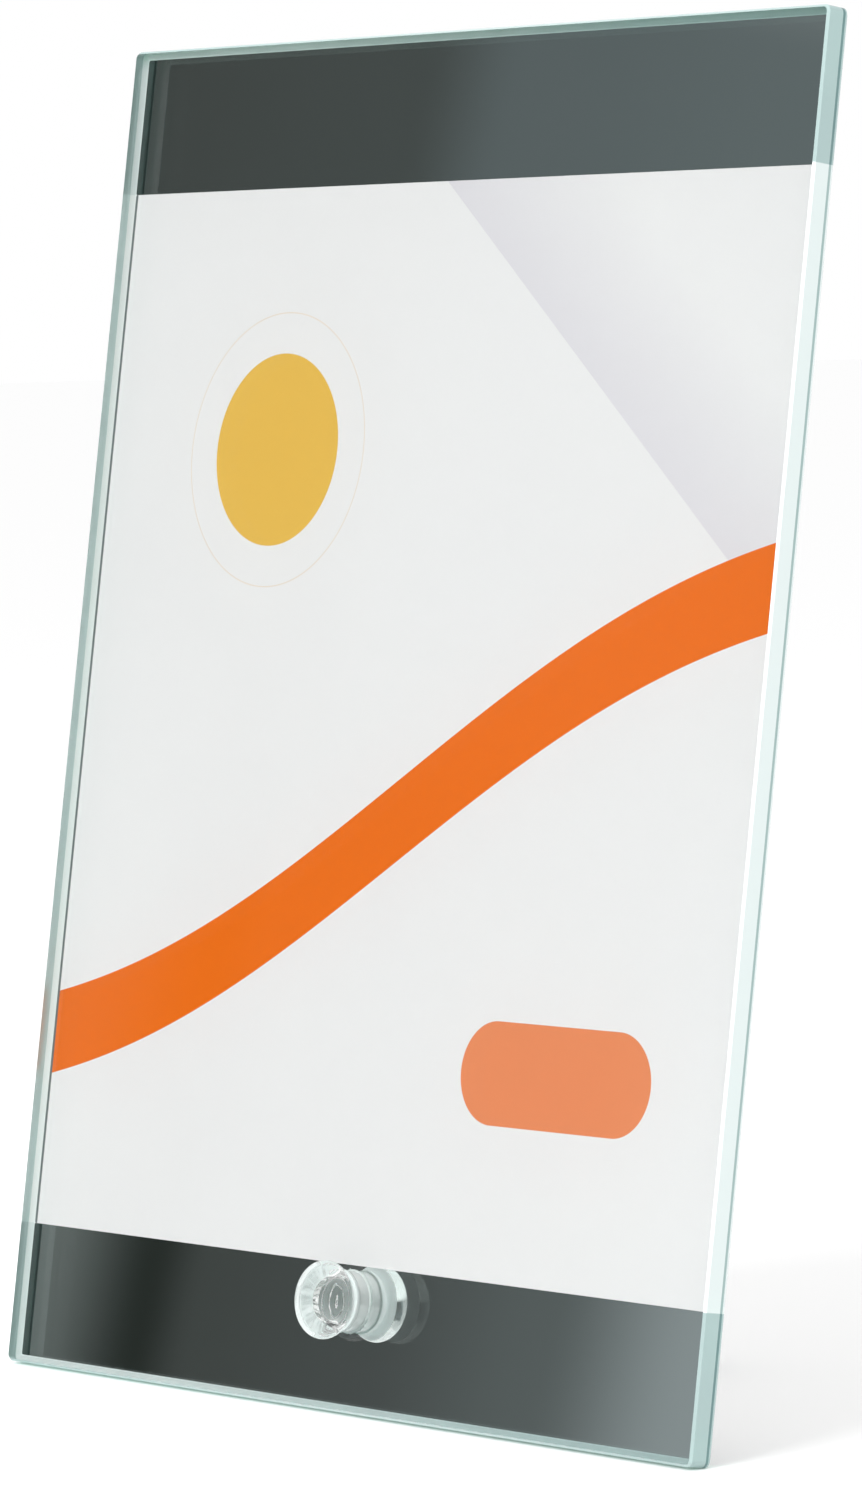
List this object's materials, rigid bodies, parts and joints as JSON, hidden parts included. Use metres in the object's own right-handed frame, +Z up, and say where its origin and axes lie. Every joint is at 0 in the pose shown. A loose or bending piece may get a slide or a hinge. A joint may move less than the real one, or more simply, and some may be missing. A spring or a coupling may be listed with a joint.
{
  "type": "glass photo plaque",
  "caption": "Frameless clear glass photo plaque with mirrored bands above and below a white print, leaning back on a peg leg held by a domed screw knob.",
  "frame": {"origin": "on the surface that the plaque stands on, under the middle of the whole object's box", "axes": "+X to the viewer's right, +Y to the back, where the leg points, +Z up"},
  "size_m": [0.18, 0.0832, 0.2278],
  "materials": {
    "float_glass": "polished faces, ground arrises",
    "silvering": "second-surface mirror, grey backing paint",
    "print_coat": "white coat printed with flat colours",
    "clear_acrylic": "clear, polished",
    "clear_vinyl": "translucent, satin",
    "soft_tip": "translucent, matt"
  },
  "bodies": {
    "root": {"glass_pane": "float_glass", "mirror_strip_top": "silvering", "mirror_strip_bottom": "silvering", "print_sheet": "print_coat", "hole_bush": "clear_vinyl", "rear_washer": "clear_vinyl", "prop_leg": "clear_acrylic", "foot_tip": "soft_tip"},
    "washer": {"front_washer": "clear_vinyl"},
    "knob": {"front_knob": "clear_acrylic"}
  },
  "joints": [
    {"name": "knob_travel", "type": "slide", "parent": "root", "child": "washer", "axis": [0, -0.9881, 0.1538], "range_m": [0, 0.005]},
    {"name": "knob_turn", "type": "hinge", "parent": "washer", "child": "knob", "pos_m": [0, -0.03486, 0.0186], "axis": [0, -0.9881, 0.1538], "range_deg": [0, 1800]}
  ],
  "couplings": [
    {"joint": "knob_turn", "follows": "knob_travel", "rad_per_m": 6283.2}
  ]
}
